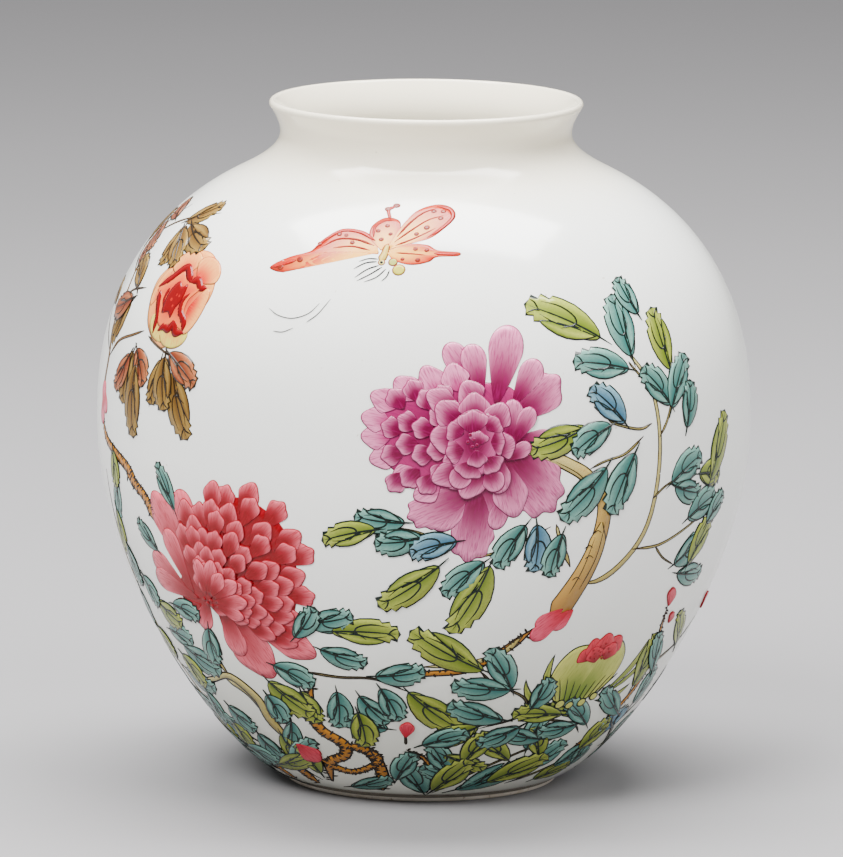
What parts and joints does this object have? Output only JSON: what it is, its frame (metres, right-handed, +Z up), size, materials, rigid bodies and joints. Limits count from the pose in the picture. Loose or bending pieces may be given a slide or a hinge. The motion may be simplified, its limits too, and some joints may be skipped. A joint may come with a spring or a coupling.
{
  "type": "globular porcelain jar",
  "caption": "Globular porcelain jar with a short flared neck and a low foot ring, glazed white and painted with raised enamel peonies, branches and a butterfly.",
  "frame": {"origin": "centre of the foot ring on the surface that the jar stands on", "axes": "+Z up along the jar's axis, the painted front faces -Y"},
  "size_m": [0.1769, 0.1779, 0.185],
  "materials": {
    "biscuit_clay": "matt unglazed porcelain",
    "porcelain_body": "fired white porcelain under the glaze",
    "clear_glaze": "gloss, very slightly green-grey white",
    "purple_enamel": "semi-gloss raised enamel, mauve to magenta",
    "pink_enamel": "semi-gloss raised enamel, rose pink to red",
    "yellow_enamel": "semi-gloss raised enamel, orange yellow to red",
    "green_enamel": "translucent glossy enamel, yellow green",
    "teal_enamel": "translucent glossy enamel, blue green",
    "olive_enamel": "translucent glossy enamel, olive brown",
    "butterfly_enamel": "semi-gloss raised enamel, orange and cream"
  },
  "bodies": {
    "root": {"foot_ring": "biscuit_clay", "lower_body": "porcelain_body", "upper_body": "porcelain_body", "neck_and_lip": "porcelain_body", "exterior_glaze": "clear_glaze", "interior_glaze": "clear_glaze", "base_glaze": "clear_glaze", "purple_peony_enamel": "purple_enamel", "pink_peony_enamel": "pink_enamel", "yellow_peony_enamel": "yellow_enamel", "green_bud_enamel": "green_enamel", "butterfly_enamel": "butterfly_enamel", "right_branch_enamel": "teal_enamel", "left_branch_enamel": "olive_enamel", "front_ground_enamel": "teal_enamel", "back_ground_enamel": "teal_enamel", "back_branch_enamel": "teal_enamel", "back_peony_enamel": "pink_enamel"}
  },
  "joints": []
}
